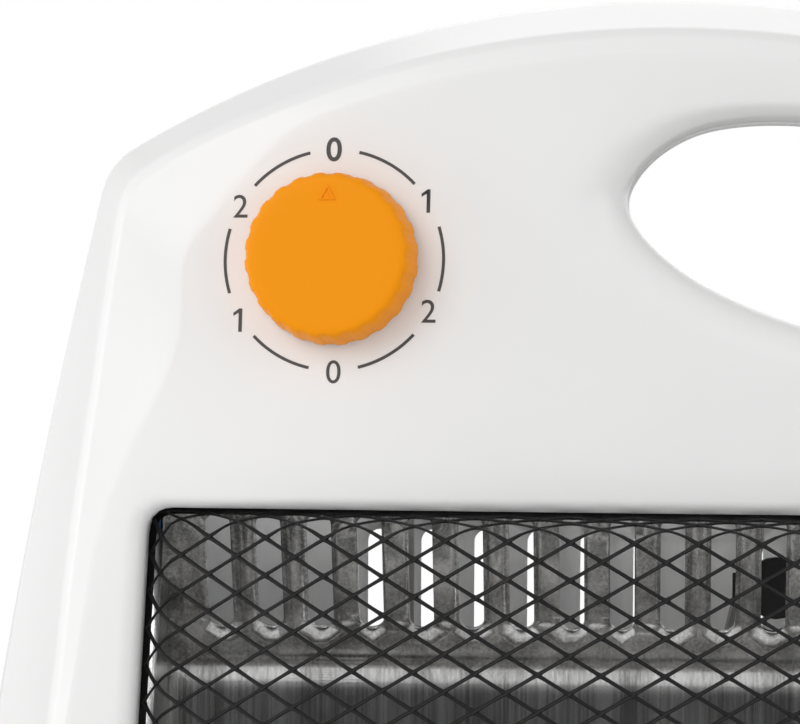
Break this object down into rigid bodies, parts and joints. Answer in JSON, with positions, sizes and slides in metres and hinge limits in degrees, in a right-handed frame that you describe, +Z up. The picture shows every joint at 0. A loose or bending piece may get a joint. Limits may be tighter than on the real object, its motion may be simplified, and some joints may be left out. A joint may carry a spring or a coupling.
{
  "type": "electric bar heater",
  "caption": "Upright electric bar heater: arched two-part casing with a carrying hole, rotary selector, bowed diamond-mesh guard, slotted reflector, quartz bars and a tip-over switch.",
  "frame": {"origin": "middle of the box's underside, on the floor between the feet", "axes": "+Z up, the front with the guard faces -Y, +X to the right as seen from the front"},
  "size_m": [0.31, 0.1278, 0.347],
  "materials": {
    "white_shell": "satin moulded",
    "black_guard": "semi-gloss black coat",
    "bright_sheet": "polished with an upright grain",
    "quartz": "milky fused quartz",
    "ceramic": "unglazed off-white ceramic",
    "resistance_wire": "oxidised",
    "orange_knob": "satin moulded orange",
    "grey_plastic": "plain",
    "black_plastic": "plain",
    "zinc_steel": "zinc plated",
    "rubber": "plain",
    "brown_lead": "heat-proof sleeve",
    "blue_lead": "heat-proof sleeve",
    "grey_lead": "heat-proof sleeve"
  },
  "bodies": {
    "casing": {"front_shell": "white_shell", "rear_shell": "white_shell", "base_plate": "white_shell", "guard_mesh": "black_guard", "reflector": "bright_sheet", "reflector_end_left": "bright_sheet", "reflector_end_right": "bright_sheet", "quartz_tube_upper": "quartz", "quartz_tube_lower": "quartz", "end_cap_upper_left": "ceramic", "end_cap_upper_right": "ceramic", "end_cap_lower_left": "ceramic", "end_cap_lower_right": "ceramic", "heating_coil_upper": "resistance_wire", "heating_coil_lower": "resistance_wire", "terminal_block": "grey_plastic", "selector_switch": "black_plastic", "tip_switch_body": "black_plastic", "thermal_cutout": "black_plastic", "casing_screw_1": "zinc_steel", "casing_screw_2": "zinc_steel", "casing_screw_3": "zinc_steel", "casing_screw_4": "zinc_steel", "casing_screw_5": "zinc_steel", "casing_screw_6": "zinc_steel", "panel_screw_1": "zinc_steel", "panel_screw_2": "zinc_steel", "panel_screw_3": "zinc_steel", "panel_screw_4": "zinc_steel", "base_screw_1": "zinc_steel", "base_screw_2": "zinc_steel", "base_screw_3": "zinc_steel", "base_screw_4": "zinc_steel", "switch_screw_1": "zinc_steel", "switch_screw_2": "zinc_steel", "tip_spring": "zinc_steel", "foot_pad_1": "rubber", "foot_pad_2": "rubber", "foot_pad_3": "rubber", "foot_pad_4": "rubber", "cord_gland": "rubber", "lead_upper_bar": "brown_lead", "lead_upper_return": "brown_lead", "lead_lower_bar": "blue_lead", "lead_lower_return": "blue_lead", "lead_feed": "grey_lead", "lead_cutout": "grey_lead"},
    "knob": {"knob": "orange_knob", "switch_spindle": "grey_plastic"},
    "plunger": {"tip_plunger": "grey_plastic"}
  },
  "joints": [
    {"name": "knob_turn", "type": "hinge", "parent": "casing", "child": "knob", "pos_m": [-0.0735, -0.02642, 0.2929], "axis": [-0.122, -0.9887, 0.0865], "continuous": true},
    {"name": "plunger_drop", "type": "slide", "parent": "casing", "child": "plunger", "axis": [0, 0, -1], "range_m": [0, 0.006], "stiffness_N_per_m": 60, "springref_m": 0.008, "deforming": ["tip_spring"]}
  ]
}
